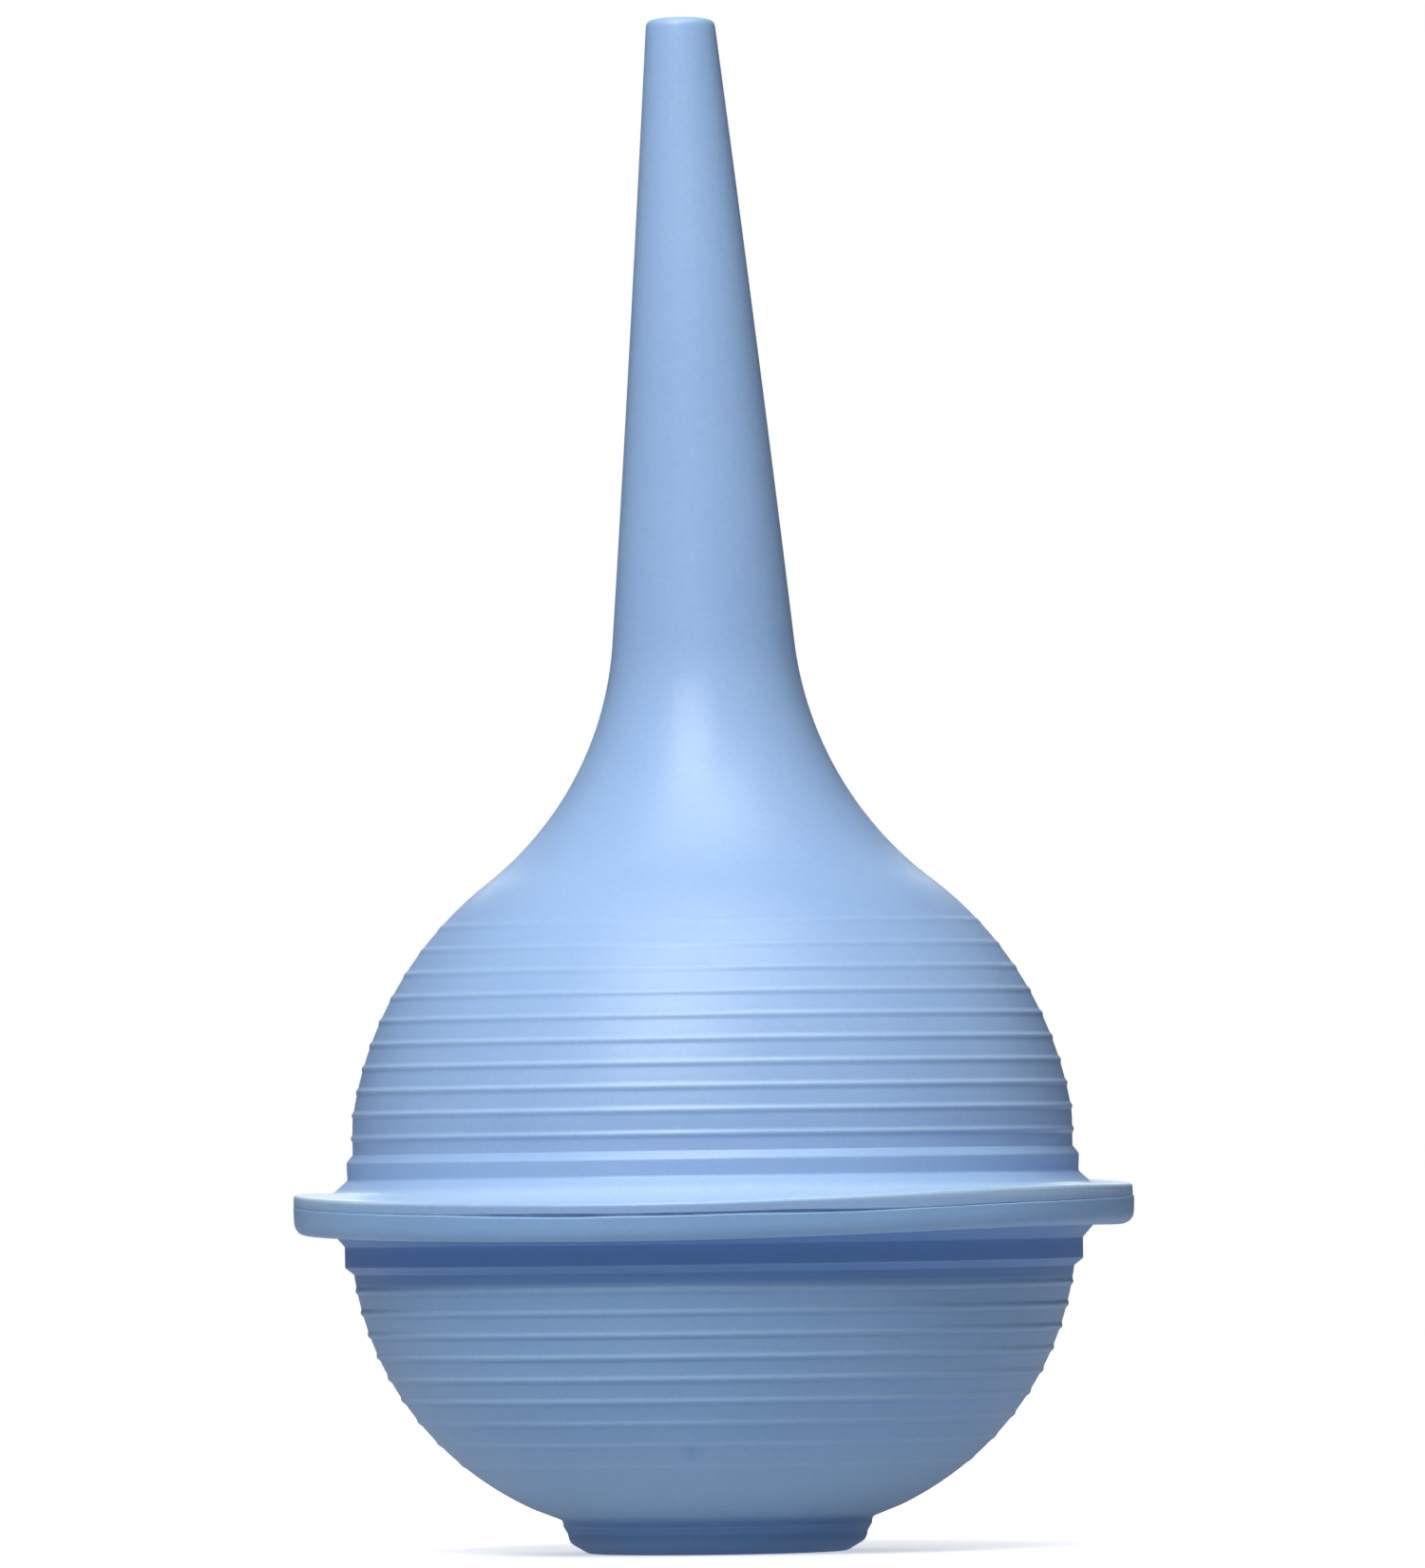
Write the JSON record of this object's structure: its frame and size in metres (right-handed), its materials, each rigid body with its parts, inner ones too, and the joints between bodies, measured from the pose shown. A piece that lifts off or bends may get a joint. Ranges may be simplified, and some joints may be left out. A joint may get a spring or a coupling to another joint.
{
  "type": "nasal aspirator",
  "caption": "Soft squeeze-bulb nasal aspirator: a long tapered nozzle on a ribbed round bulb, with a finger flange round its middle and a flat foot to stand on",
  "frame": {"origin": "centre of the foot's sole, on the surface that the bulb stands on", "axes": "+Z is the bulb's axis, up from the foot to the nozzle's mouth; -Y faces the front view; the nozzle's slight set leans towards -X"},
  "size_m": [0.0602, 0.0602, 0.1098],
  "materials": {
    "upper_soft_pvc": "satin light blue soft PVC",
    "lower_soft_pvc": "satin light blue soft PVC",
    "cured_cement": "cured PVC cement, darker blue"
  },
  "bodies": {
    "upper": {"nozzle_half": "upper_soft_pvc", "seam_bond_ring": "cured_cement"},
    "base": {"base_half": "lower_soft_pvc"}
  },
  "joints": [
    {"name": "base_press", "type": "slide", "parent": "upper", "child": "base", "axis": [0, 0, 1], "range_m": [0, 0.01], "stiffness_N_per_m": 800, "deforming": ["base_half"]}
  ]
}
